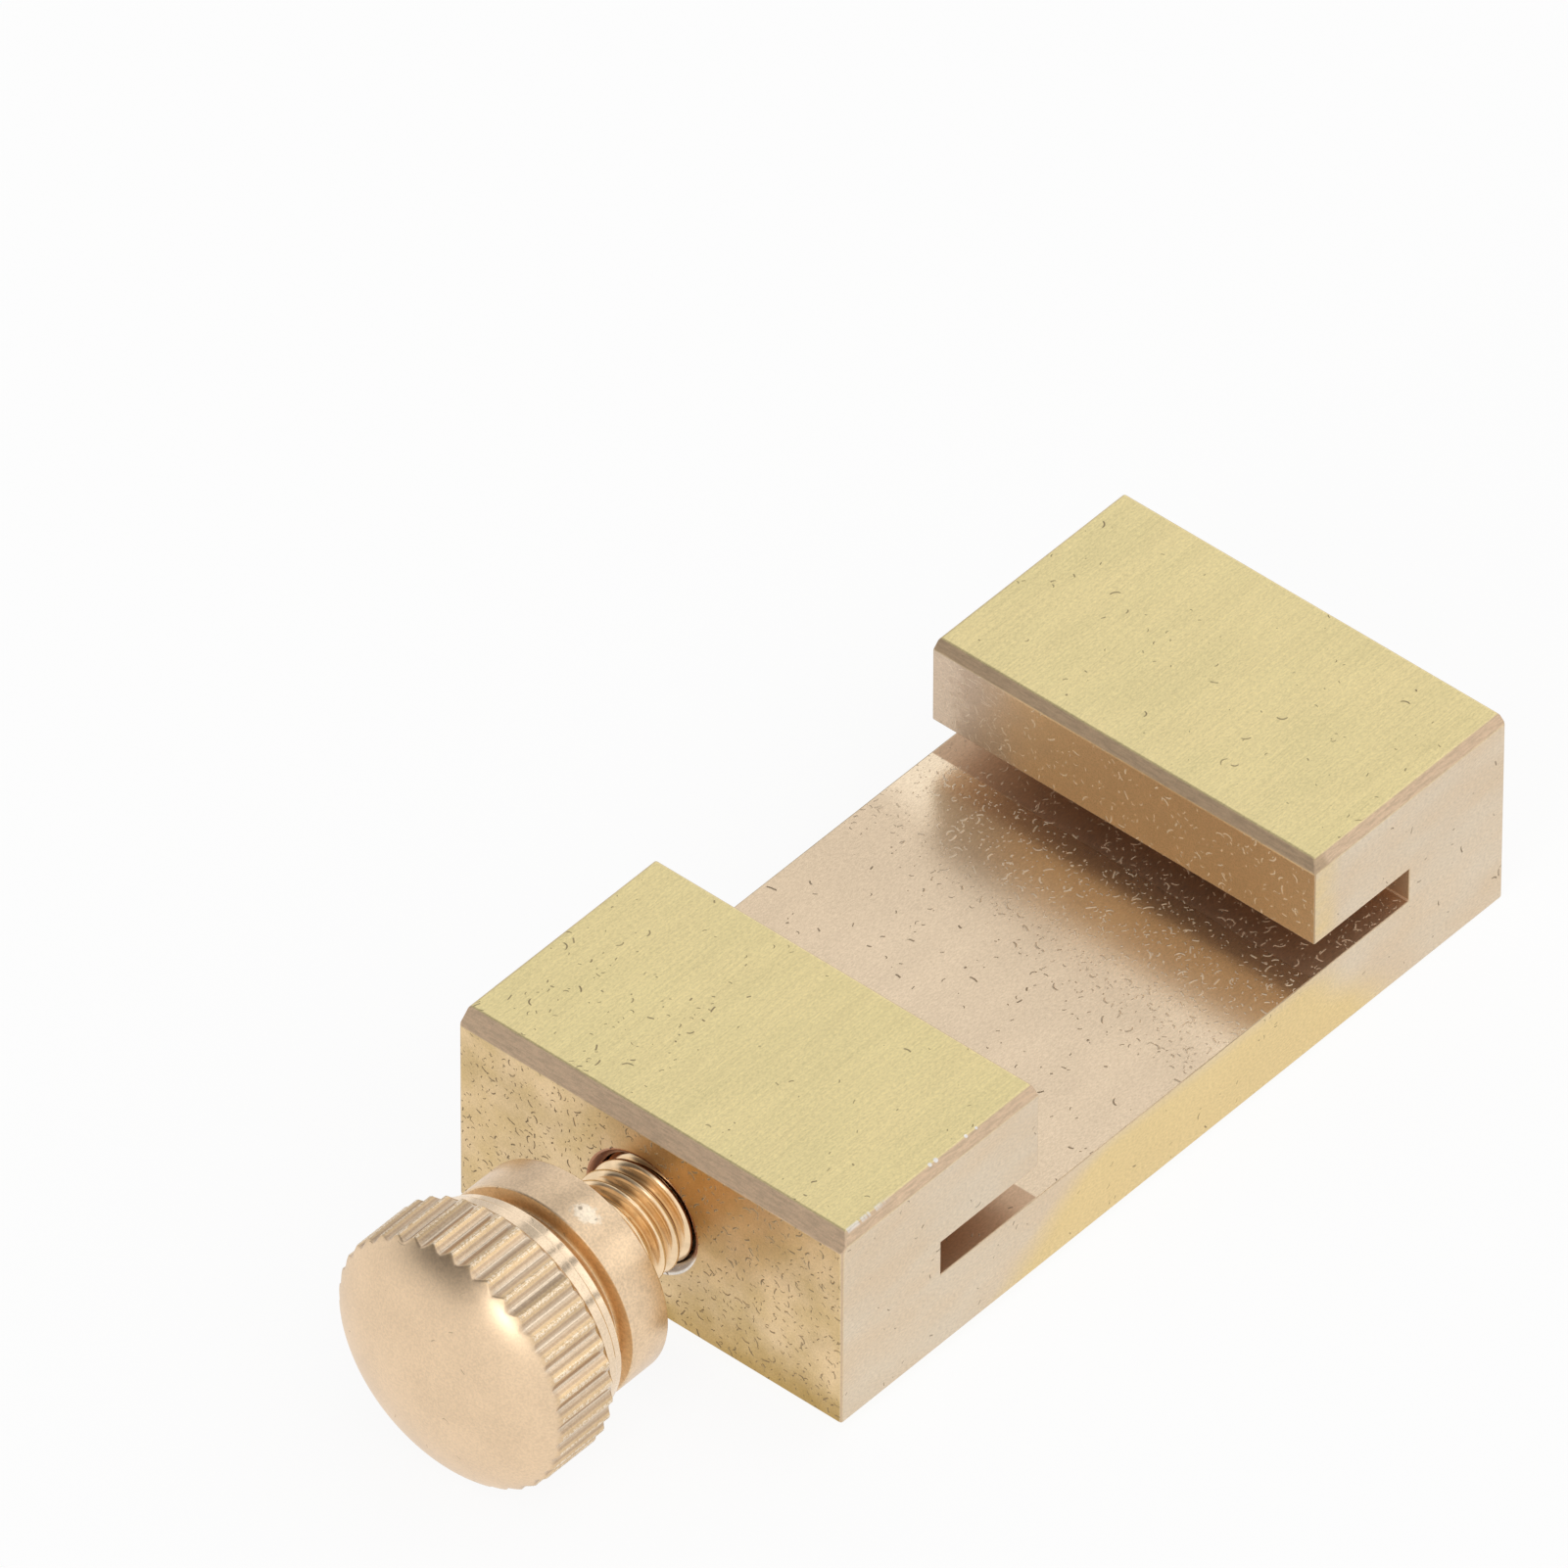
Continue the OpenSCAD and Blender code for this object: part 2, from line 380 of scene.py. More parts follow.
# A hair's bend, the shortest one's share of the length, and the faintest one's strength
HAIR_BEND = 1.6
SHORTEST_HAIR = 0.15
FAINTEST_HAIR = 0.65
# Where a hair's sides and ends, and a speck's edge, are full, as shares of their size
FULL_SIDE = 0.3
FULL_END = 0.75
FULL_SPECK = 0.3
# The smallest speck, as a share of the largest
LEAST_SPECK = 0.4
# Weights that make a new random number from two others
FIRST_DRAW = (7, 3)
SECOND_DRAW = (5, 11)
# Kinds of hair: the cell, reach, half width and shift of the pattern, in millimetres. Strokes lie only in
# the far jaw's worn corner, stretched along its height
LONG_HAIR = (0.68, 0.26, 0.048, 3.1)
SHORT_HAIR = (0.40, 0.13, 0.030, 17.7)
STROKES = (0.7, 0.5, 0.04, 41.3)
STROKE_CHANCE = 3
STROKE_RISE = 1.5
HEAD_HAIR = (1.3, 0.24, 0.03, 5.3)
HEAD_HAIR_CHANCE = 0.22
# Kinds of dust: the cell, and the radius of a speck, in millimetres. A share lowers its chance
FINE_DUST = (0.30, 0.036)
ROUND_DUST = (0.24, 0.055)
ROUND_SHIFT = 9
ROUND_SHARE = 0.6
COARSE_DUST = (0.8, 0.09)
COARSE_SHARE = 0.5
HEAD_DUST = (0.5, 0.04)
HEAD_DUST_CHANCE = 0.12
THREAD_DUST = (0.5, 0.05)
THREAD_DUST_CHANCE = 0.3
# Scratches along the grain: how fine, how stretched and how wide, and how they break off
SCRATCH = (1.4, 0.05, 0.012)
SCRATCH_PATTERN = (1.0, 1, 0.4)
SCRATCH_LAYER = 3.7
BREAKS = ((2, 0.7, 1), 1.0, 2, 0.6)
BREAK_LAYER = 9.1
BREAK_EDGE = (0.5, 0.62)


def lint(g, u, v, chance, cell, reach, width, shift):
    """Short curved hairs and scratches lying in loose clusters, at most one in each cell."""
    across = g.vector(u / cell + shift, v / cell + shift, 0)
    settings = {"voronoi_dimensions": "2D", "feature": "F1"}
    middle = g.add("ShaderNodeTexVoronoi", settings, {"Vector": across, "Scale": 1.0}, "Position")
    red, green, blue = g.split(middle.sibling("Color"))
    mid_u, mid_v, _ = g.split(middle)
    du = (u / cell + shift - mid_u) * cell
    dv = (v / cell + shift - mid_v) * cell
    turn = red * (2 * math.pi)
    cosine, sine = g.math("COSINE", turn), g.math("SINE", turn)
    along = du * cosine + dv * sine
    aside = dv * cosine - du * sine
    bent = aside - (green - 0.5) * along * along * (HAIR_BEND / reach)
    line = g.step(abs(bent), width, width * FULL_SIDE)
    share = blue * (1 - SHORTEST_HAIR) + SHORTEST_HAIR
    length = g.step(abs(along) / share, reach, reach * FULL_END)
    crowd = g.step(g.noise(middle, *CLUSTER), *CLUSTER_EDGE) * CLUSTERED + STRAY
    kept = g.math("LESS_THAN", g.draw(green, blue, FIRST_DRAW), crowd * chance)
    strength = FAINTEST_HAIR + (1 - FAINTEST_HAIR) * g.draw(red, blue, SECOND_DRAW)
    return line * length * kept * strength


def dust(g, place, chance, cell, size):
    """Round specks, at most one in each cell."""
    values = {"Vector": g.vector(*place), "Scale": 1 / cell}
    spot = g.add("ShaderNodeTexVoronoi", {"feature": "F1"}, values, "Distance")
    red, green, _ = g.split(spot.sibling("Color"))
    share = green * (1 - LEAST_SPECK) + LEAST_SPECK
    near = g.step(spot * cell / share, size, size * FULL_SPECK)
    return near * g.math("LESS_THAN", red, chance)


def scratches(g, across, along, fine, stretch, width):
    """Long thin lines, nearly straight, that run with the grain."""
    place = across, along, SCRATCH_LAYER
    lines = abs(g.texture(place, (fine, stretch, 1), *SCRATCH_PATTERN) - 0.5)
    broken = g.step(g.texture((across, along, BREAK_LAYER), *BREAKS), *BREAK_EDGE)
    return g.step(lines, width, 0) * broken


# How squarely a face lies to an axis, from slanted to square
SQUARELY = (0.80, 0.97)
END_BEVEL_TURN = (0.25, 0.45)
# Each pair below says where a part of the block's finish begins and where it is full, in millimetres.
# The parts at both ends go by the distance from the block's middle
BY_JAWS = (9.4, 9.1)
END_FACE = (18, 19)
NEAR_END = (0, -1)
JAW_FACE = (10, 9.5)
FAR_JAW = (5, 6)
FLOOR_LOW = (3, 3.4)
FLOOR_HIGH = (4.6, 4.2)
TOP_FACE = (9, 9.5)
SLOT_NEAR = (8.32, 8.42)
SLOT_FAR = (15, 14.5)
SLOT_LOW = (3.7, 3.85)
SLOT_HIGH = (5.72, 5.66)
SLOT_SIDE = (9.97, 9.9)
# How strongly the painted shade inside the slots shows
SLOT_SHADE_SHARE = 0.9
# The side's yellow strip: the slant of its ends, the place of each end and its top
STRIP_NEAR_SLANT = 1.56
STRIP_NEAR = (-11.6, -8)
STRIP_FAR_SLANT = 1.14
STRIP_FAR = (15.6, 12)
STRIP_TOP = (4.6, 3.2)
STRIP_WAVE = 2
STRIP_SHARE = 0.85
# The yellow patch on the side, at the tip of the far jaw
PATCH_Y = (10.2, 8.6)
PATCH_Z = (5.2, 6)
PATCH_SLANT = 0.08
PATCH_EDGE = (0.9, 1.2)
# Painted shade low on the ends, a painted dark reflection along the floor's -X side, the jaw greyer
# towards -X, and the floor's pale haze by the jaw
WARM_EDGE = (0.25, 0.75)
FAR_WARMTH = 0.6
DEEP_Z = (4.6, 1.6)
DEEP_X = (-9.5, -5)
DEEP_WAVE = 4
DEEP_SHARE = 0.25
DEEP_NEAR = 0.5
DARK_REFLECTION_X = (-3, -9)
DARK_REFLECTION_SHARE = 0.15
HAZE_SLANT = 0.16
HAZE = (3, 5)
GREY_X = (-2, -7)
GREY_WAVE = 3
# The worn corner of the far jaw, and the strokes in it
WORN_X = (-6.1, -7.1)
WORN_WAVE = 4
WORN_SHARE = 0.40
STROKE_X = (-5.8, -6.8)
STROKE_SHARE = 0.9
# The bevel that has the jaw's edge colour lies on this half
FAR_BEVEL = (0, 1)
# The mouth of the screw's hole, with painted shade round the screw, and the burr on it
MOUTH_R = 2.9
MOUTH_SOFT = 0.05
MOUTH_Y = (-16, -17)
BURR = (2.9, 3.3)
# Nicks in the top edge, painted as white glints: their place along it and radius, where the edge is, and
# how they fade
EDGE_GLINTS = ((-14.44, 0.11), (-14.09, 0.13), (-12.28, 0.10), (-11.66, 0.08))
EDGE_X = 9.62
EDGE_Z = 9.83
FULL_GLINT = 0.7
# Chips along the top edge, also painted as white glints
CHIPPED_SUM = (19.36, 19.42)
CHIPPED_Z = (9.7, 9.78)
CHIPPED_Y = (-16.5, -18)
CHIPS = (0.46, 0.5)
CHIP_GLINT_SHARE = 0.7
# Dust and hairs by the far jaw, and hairs in the top's corner
DUSTY_Y = (0.5, 4.5)
CORNER_X = (0, -4)
CORNER_Y = (-12, -14)
# Where milled cuts are dark, the middle of the fibre's range, and the floor's share of scratches
MILLED_CUTS = (0.62, 0.35)
FIBRE_MIDDLE = 0.45
FLOOR_CUTS = 0.6
# How much cleaner the bevels and the floor by the jaw are, and how strongly specks and marks show
BEVEL_CLEAN = 0.7
JAW_CLEAN = 0.25
SPECK_SHARE = 0.9
PALE_SHARE = 0.8
MARK_SHARE = 0.85
# How much less metallic marks and haze are
MARK_METAL = 0.8
HAZE_METAL = 0.05

# What each part or pattern adds to the number of hairs, the chance of dust, the shade and the roughness
BLOCK_HAIRS = {"plain": 0.04, "near end": 1.1, "floor": 0.03, "by jaw": 0.75, "jaw": 0.40, "corner": 0.2}
BLOCK_DUST = {"plain": 0.08, "by jaw": 0.6, "jaw": 0.45, "end": 0.18}
BLOCK_SHADE = {
    "plain": 0.87,
    "grain": 0.10,
    "streak": 0.05,
    "top streak": 0.06,
    "fibre": 0.17,
    "cloud": 0.03,
    "end cloud": 0.08,
    "floor cloud": 0.03,
    "bevel": -0.04,
    "milled": -0.14,
    "cuts": -0.05,
}
BLOCK_ROUGHNESS = {
    "plain": 0.34,
    "side": 0.06,
    "floor": -0.12,
    "jaw": 0.16,
    "bevel": 0.30,
    "slot": 0.2,
    "grain": 0.08,
    "marks": 0.4,
    "hole": -0.3,
    "nicks": 0.3,
}
BLOCK_RIDGES = {"plain": 0, "grain": 0.5, "streak": 0.3, "milled": 1.5}
# Bumps: strength, and height in metres
RIDGE_BUMP = (0.3, 0.02 * MM)
MARK_BUMP = (0.6, 0.03 * MM)
SCREW_BUMP = (0.12, 0.02 * MM)
THREAD_BUMP = (0.15, 0.02 * MM)


def ground_brass(name):
    """The block: satin faces ground along its length, fine lint and scratches, milled bevels."""
    material, g = new_material(name)
    place, facing = places(g)
    x, y, z = place
    facing_x, facing_y, facing_z = (g.step(abs(way), *SQUARELY) for way in facing)
    bevel = g.clamp(1 - facing_x - facing_y - facing_z)
    away = abs(y)
    end = facing_y * g.step(away, *END_FACE)
    near_end = end * g.step(y, *NEAR_END)
    jaw_face = facing_y * g.step(away, *JAW_FACE)
    far_jaw = g.step(y, *FAR_JAW)
    floor = facing_z * g.step(z, *FLOOR_HIGH) * g.step(z, *FLOOR_LOW)
    top = facing_z * g.step(z, *TOP_FACE)
    slot = g.step(away, *SLOT_NEAR) * g.step(away, *SLOT_FAR)
    slot = slot * g.step(z, *SLOT_LOW) * g.step(z, *SLOT_HIGH) * g.step(abs(x), *SLOT_SIDE)

    grain = g.texture(place, *GRAIN)
    streak = g.texture(place, *STREAK)
    cloud = g.texture(place, *CLOUD)
    fibre = g.texture(place, *FIBRE)
    mottle = g.step(g.texture((x + WARMTH_SHIFT, y, z), *WARMTH), *WARM_EDGE)
    end_bevel = g.step(abs(facing[1]), *END_BEVEL_TURN)
    length, across = g.choose(end_bevel, y, x), g.choose(end_bevel, x, y)
    milled = g.texture((length, across, 0), *MILLED)

    wave = cloud * STRIP_WAVE
    strip = facing_x * g.step(y - STRIP_NEAR_SLANT * z + wave, *STRIP_NEAR)
    strip = strip * g.step(y + STRIP_FAR_SLANT * z + wave, *STRIP_FAR) * g.step(z, *STRIP_TOP)
    patch = facing_x * g.step(away, *PATCH_Y) * g.step(z, *PATCH_Z)
    patch = patch * g.step(cloud + y * PATCH_SLANT, *PATCH_EDGE)
    # The side and the top each get their own tint of the brass: painted reflection
    side = g.mix(mottle, SIDE_REFLECTION_BRASS, SIDE_REFLECTION_WARM)
    side = g.mix(g.most(strip, patch) * STRIP_SHARE, side, SIDE_YELLOW)
    colour = g.mix(facing_x, g.mix(mottle, TOP_REFLECTION_BRASS, TOP_REFLECTION_WARM), side)

    # The ends get their own tint of the brass: painted reflection
    ends = g.mix(mottle * near_end + FAR_WARMTH * (1 - near_end), END_REFLECTION_BRASS, END_REFLECTION_WARM)
    # Painted shade: the ends darken towards the bottom and towards +X, most on the near end
    deep = g.step(z + cloud * DEEP_WAVE, *DEEP_Z) * g.step(x, *DEEP_X)
    ends = g.mix(deep * (DEEP_SHARE + DEEP_NEAR * near_end), ends, END_SHADE)
    colour = g.mix(end, colour, ends)

    slanted = y + x * HAZE_SLANT
    haze = floor * g.step(slanted, *HAZE)
    # Painted dark reflection along the floor's -X side
    channel = g.mix(g.step(x, *DARK_REFLECTION_X) * DARK_REFLECTION_SHARE, FLOOR_BRASS, FLOOR_DARK_REFLECTION)
    colour = g.mix(floor, colour, g.mix(haze, channel, FLOOR_PALE))

    rubbed = g.texture((x, RUBBED_LAYER, z), *RUBBED)
    worn = jaw_face * far_jaw * g.step(x + rubbed * WORN_WAVE, *WORN_X)
    strokes = lint(g, x, z * STROKE_RISE, STROKE_CHANCE, *STROKES) * g.step(x, *STROKE_X)
    worn = g.most(worn * WORN_SHARE, strokes * jaw_face * far_jaw * STROKE_SHARE)
    jaw = g.mix(g.step(x + cloud * GREY_WAVE, *GREY_X), JAW_BRASS, JAW_GREY)
    colour = g.mix(jaw_face, colour, g.mix(worn, jaw, JAW_WORN))
    by_jaws = g.step(y, *FAR_BEVEL) * g.step(away, *BY_JAWS)
    colour = g.mix(bevel, colour, g.mix(by_jaws, BEVEL_BRASS, JAW_EDGE))
    # Painted shade inside the slots
    colour = g.mix(slot * SLOT_SHADE_SHARE, colour, SLOT_SHADE_BROWN)

    hole = g.distance(x - AXIS_X / MM, z - AXIS_Z / MM)
    mouth = g.step(hole, MOUTH_R + MOUTH_SOFT, MOUTH_R) * g.step(y, *MOUTH_Y)
    burr = mouth * g.step(x + AXIS_Z / MM - z, *BURR)
    # Painted shade in the hole's mouth, round the screw
    colour = g.mix(mouth, colour, HOLE_SHADE_BROWN)
    colour = g.mix(burr, colour, BURR_SILVER)

    # Painted white glints on the chips and nicks of the top edge
    edge = g.step(x + z, *CHIPPED_SUM) * g.step(z, *CHIPPED_Z) * g.step(y, *CHIPPED_Y)
    nicks = edge * g.step(g.texture((0, y, 0), *CHIPPED), *CHIPS) * CHIP_GLINT_SHARE
    for along, radius in EDGE_GLINTS:
        nick_glint = g.distance(y - along, x - EDGE_X, z - EDGE_Z)
        nicks = g.most(nicks, g.step(nick_glint, radius, radius * FULL_GLINT))
    colour = g.mix(nicks, colour, GLINT_WHITE)

    clouded = g.step(cloud, *SPREAD) - MIDDLE
    shades = {
        "grain": g.step(grain, *SPREAD),
        "streak": streak,
        "top streak": top * (g.step(streak, *SPREAD) - MIDDLE),
        "fibre": (g.step(fibre, *SPREAD) - FIBRE_MIDDLE) * (1 - bevel),
        "cloud": clouded,
        "end cloud": end * clouded,
        "floor cloud": floor * clouded,
        "bevel": bevel,
        "milled": bevel * g.step(milled, *MILLED_CUTS),
        "cuts": scratches(g, x, y, *SCRATCH) * (top + FLOOR_CUTS * floor),
    }
    colour = g.shaded(colour, total(BLOCK_SHADE, shades))

    u, v = g.choose(facing_x, x, y), g.choose(facing_z, z, y)
    by_jaw = floor * g.step(slanted, *DUSTY_Y)
    corner = top * g.step(x, *CORNER_X) * g.step(y, *CORNER_Y)
    parts = {"near end": near_end, "floor": floor, "by jaw": by_jaw, "jaw": jaw_face, "corner": corner}
    hairy = total(BLOCK_HAIRS, parts)
    hair = g.most(lint(g, u, v, hairy, *LONG_HAIR), lint(g, u, v, hairy, *SHORT_HAIR))
    dusty = total(BLOCK_DUST, {"by jaw": by_jaw, "jaw": jaw_face, "end": end})
    specks = g.most(
        dust(g, place, dusty, *FINE_DUST),
        dust(g, (x + ROUND_SHIFT, y, z), by_jaw * ROUND_SHARE, *ROUND_DUST),
        dust(g, place, dusty * COARSE_SHARE, *COARSE_DUST),
    )
    marks = g.most(hair * (1 - JAW_CLEAN * by_jaw), specks * SPECK_SHARE) * (1 - bevel * BEVEL_CLEAN)
    pale = g.clamp(by_jaw + PALE_SHARE * jaw_face)
    colour = g.mix(marks * MARK_SHARE, colour, g.mix(pale, LINT, PALE_LINT))

    roughs = {
        "side": facing_x,
        "floor": floor,
        "jaw": jaw_face,
        "bevel": bevel,
        "slot": slot,
        "grain": grain,
        "marks": marks,
        "hole": mouth,
        "nicks": nicks,
    }
    rough = g.clamp(total(BLOCK_ROUGHNESS, roughs))
    ridges = {"grain": grain, "streak": streak * (1 - end), "milled": milled * bevel}
    normal = g.bump(total(BLOCK_RIDGES, ridges), *RIDGE_BUMP)
    normal = g.bump(marks, *MARK_BUMP, normal)
    bare = 1 - g.most(MARK_METAL * marks, nicks, HAZE_METAL * haze)
    metal(g, colour, rough, normal, bare)
    return material


# Where the head's parts begin, in millimetres along Y
DOME_START = (DOME_TIP + DOME_H) / MM
COLLAR_OUT = (COLLAR_Y - COLLAR_L) / MM
BANDS_START = COLLAR_OUT - CONE_L / MM
BANDS_END = COLLAR_OUT - BANDS_L / MM
# How far, in millimetres, one part's finish runs into the next
LONG_BLEND = 0.3
BLEND = 0.1
SHORT_BLEND = 0.05
EDGE_BLEND = 0.04
THIN_BLEND = 0.02
# A dent on the collar: its angle round the axis, its place along it, and the rubbed patch round it, which
# carries a painted highlight
PIT_ANGLE, PIT_Y = math.radians(71), -25.3
PIT_STRETCH = 1.6
PIT_RAGGED = 1.5
PIT_EDGE = (0.72, 0.40)
RUB_HIGHLIGHT_SHARE = 0.85
DENT_SHIFT = 0.30
DENT_EDGE = (0.13, 0.05)
# A tooth climbs from 0 in the groove to 1 on its crest. The knurl's light is painted along it: where the
# painted highlight at the groove's foot, the painted dark line on its flanks and the gold painted
# reflection on the crest lie, and how much each shows
FOOT = (0.16, 0.04)
FOOT_HIGHLIGHT_SHARE = 0.6
FLANK_LINE = 0.42
FLANK_EDGE = (0.15, 0.05)
FLANK_SHADE_SHARE = 0.5
RIB = (0.50, 0.60)
PAINTED_KNURL_SHARE = 0.8
# The worn crests' sparkle, a painted highlight, by the distance under the rim's radius
SPARKLE_UNDER = 0.06
SPARKLE_FULL = 0.03
SPARKLE = (0.38, 0.60)
SPARKLE_SHARE = 1.2
# How strongly the painted highlight shows on the worn crests and the bands, where blotches show, and how
# strongly marks show
CREST_HIGHLIGHT, BAND_HIGHLIGHT = 0.6, 0.3
BLOTCHED = (0.35, 0.65)
SCREW_SPECK_SHARE = 0.7
SCREW_MARK_SHARE = 0.6
SCREW_MARK_METAL = 0.5

# What each part or pattern adds to the screw's shade, roughness and ridges. The collar's and the knurl's
# darker shade is painted shade, the dome's lighter shade painted light
SCREW_SHADE = {
    "plain": 0.86,
    "speck": 0.14,
    "collar speck": 0.08,
    "rings": 0.10,
    "collar": -0.09,
    "dome": 0.03,
    "cloud": 0.06,
    "knurl": -0.10,
    "blotch": 0.08,
}
SCREW_ROUGHNESS = {
    "plain": 0.20,
    "speck": 0.10,
    "dome": 0.10,
    "neck": 0.10,
    "marks": 0.3,
    "bands": -0.11,
    "collar": 0.07,
}
SCREW_RIDGES = {"plain": 0, "rings": 0.3, "collar rings": 0.9, "speck": 0.4}
THREAD_SHADE = {"plain": 0.92, "lines": 0.14, "cloud": 0.16}
THREAD_ROUGHNESS = {"plain": 0.13, "cloud": 0.08, "specks": 0.2}
# How far the root's colour reaches up the thread in millimetres, and how strongly specks show on it
ROOT_BLEND, THREAD_SPECK_SHARE = 0.25, 0.5


def turned(g):
    """Place on the screw in millimetres: across, along, up, and out from the axis."""
    (x, y, z), _ = places(g)
    dx, dz = x - AXIS_X / MM, z - AXIS_Z / MM
    return dx, y, dz, g.distance(dx, dz)


def turned_brass(name):
    """The head and collar: turned surfaces with faint rings around the axis."""
    material, g = new_material(name)
    dx, y, dz, radius = turned(g)
    place = dx, y, dz
    around = g.math("ARCTAN2", dz, dx)
    rings = g.texture((radius, y, 0), *RINGS)
    cloud = g.texture(place, *SCREW_CLOUD)
    speck = g.texture(place, *SPECKLE)
    blotch = g.texture(place, *BLOTCH)
    dome = g.step(y, DOME_START + BLEND, DOME_START - BLEND)
    collar = g.step(y, COLLAR_OUT - BLEND, COLLAR_OUT)
    neck = g.step(y, BANDS_START, BANDS_START + BLEND) * (1 - collar)
    knurl = g.step(y, DOME_START - LONG_BLEND, DOME_START)
    knurl = knurl * g.step(y, BANDS_END, BANDS_END - SHORT_BLEND)
    bands = g.step(y, BANDS_END - BLEND, BANDS_END)
    bands = bands * g.step(y, BANDS_START + THIN_BLEND, BANDS_START)
    gap = g.step(y, BANDS_START - SHORT_BLEND, BANDS_START)
    gap = gap * g.step(y, COLLAR_OUT + EDGE_BLEND, COLLAR_OUT)

    # The knurl's light, painted by the tooth's climb: a painted highlight at the groove's foot, a painted
    # dark line on the flanks, gold painted reflection towards the crest and grey painted reflection below
    tooth = g.math("FRACT", around / (2 * math.pi) * TEETH + TEETH)
    climb = 1 - abs(2 * tooth - 1)
    groove = g.mix(g.step(climb, *FOOT) * FOOT_HIGHLIGHT_SHARE, FLANK_GREY_REFLECTION, HIGHLIGHT_BRASS)
    ribs = g.mix(g.step(climb, *RIB), groove, FLANK_GOLD_REFLECTION)
    line = g.step(abs(climb - FLANK_LINE), *FLANK_EDGE)
    ribs = g.mix(line * FLANK_SHADE_SHARE, ribs, FLANK_SHADE_BRASS)
    colour = g.mix(knurl * PAINTED_KNURL_SHARE, SCREW_BRASS, ribs)
    colour = g.mix(gap, colour, GAP_BRASS)

    rim = RIM_R / MM
    crest = knurl * g.step(radius, rim - SPARKLE_UNDER, rim - SPARKLE_FULL)
    crest = crest * g.step(speck, *SPARKLE) * SPARKLE_SHARE
    pit_u, pit_y = (around - PIT_ANGLE) * (COLLAR_R / MM), y - PIT_Y
    pit = g.math("SQRT", pit_u * pit_u + pit_y * pit_y * PIT_STRETCH)
    pit = pit + (g.texture(place, *RAGGED) - MIDDLE) * PIT_RAGGED
    rub_highlight = collar * g.step(pit, *PIT_EDGE)
    # Painted highlight on the worn crests, the polished bands and the rubbed patch
    painted_highlight = g.most(crest * CREST_HIGHLIGHT, bands * BAND_HIGHLIGHT, rub_highlight * RUB_HIGHLIGHT_SHARE)
    colour = g.mix(painted_highlight, colour, HIGHLIGHT_BRASS)

    specked = g.step(speck, *SPREAD)
    shades = {
        "speck": specked,
        "collar speck": collar * specked,
        "rings": rings * (1 - dome),
        # Painted shade on the collar and the knurl, and painted light on the dome
        "collar": collar,
        "dome": dome,
        "cloud": g.step(cloud, *SPREAD) - MIDDLE,
        "knurl": knurl,
        "blotch": collar * (g.step(blotch, *BLOTCHED) - MIDDLE),
    }
    colour = g.shaded(colour, total(SCREW_SHADE, shades))

    hair = lint(g, dx + around, dz + y, HEAD_HAIR_CHANCE, *HEAD_HAIR)
    specks = dust(g, place, HEAD_DUST_CHANCE, *HEAD_DUST)
    dent = collar * g.step(g.distance(pit_u - DENT_SHIFT, pit_y), *DENT_EDGE)
    marks = g.most(hair, specks * SCREW_SPECK_SHARE, dent)
    colour = g.mix(marks * SCREW_MARK_SHARE, colour, LINT)

    ridges = {"rings": rings, "collar rings": collar * rings, "speck": speck}
    normal = g.bump(total(SCREW_RIDGES, ridges), *SCREW_BUMP)
    roughs = {
        "speck": speck,
        "dome": dome,
        "neck": neck,
        "marks": marks,
        "bands": bands,
        "collar": collar,
    }
    rough = total(SCREW_ROUGHNESS, roughs)
    metal(g, colour, rough, normal, 1 - SCREW_MARK_METAL * marks)
    return material


def cut_thread(name):
    """The thread: brighter, with the tool's fine lines along each turn."""
    material, g = new_material(name)
    dx, y, dz, radius = turned(g)
    place = dx, y, dz
    lines = g.texture((radius, y, 0), *TOOL_LINES)
    cloud = g.texture(place, *THREAD_CLOUD)
    root = g.step(radius, ROOT_R / MM + ROOT_BLEND, ROOT_R / MM)
    colour = g.mix(root, THREAD_BRASS, THREAD_ROOT)
    shades = {"lines": lines, "cloud": g.step(cloud, *SPREAD) - MIDDLE}
    colour = g.shaded(colour, total(THREAD_SHADE, shades))
    specks = dust(g, place, THREAD_DUST_CHANCE, *THREAD_DUST)
    colour = g.mix(specks * THREAD_SPECK_SHARE, colour, LINT)
    rough = total(THREAD_ROUGHNESS, {"cloud": cloud, "specks": specks})
    metal(g, colour, rough, g.bump(lines, *THREAD_BUMP))
    return material


def mesh_object(name, mesh):
    piece = bpy.data.objects.new(name, mesh)
    bpy.context.scene.collection.objects.link(piece)
    return piece


def plain_mesh(piece, name):
    """The piece's modifiers turned into an ordinary mesh, on an object of its own."""
    bpy.context.view_layer.update()
    evaluated = piece.evaluated_get(bpy.context.evaluated_depsgraph_get())
    mesh = bpy.data.meshes.new_from_object(evaluated)
    mesh.name = name
    bpy.data.objects.remove(piece)
    return mesh_object(name, mesh)


def finish_piece(piece, body, slot, *nodes):
    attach(piece, body)
    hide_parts(*nodes)


def close_ends(mesh):
    """Closes open loops of edges, and turns every face outwards."""
    edit = bmesh.new()
    edit.from_mesh(mesh)
    bmesh.ops.remove_doubles(edit, verts=edit.verts, dist=WELD)
    open_edges = [edge for edge in edit.edges if edge.is_boundary]
    bmesh.ops.holes_fill(edit, edges=open_edges, sides=0)
    bmesh.ops.recalc_face_normals(edit, faces=edit.faces)
    edit.to_mesh(mesh)
    edit.free()


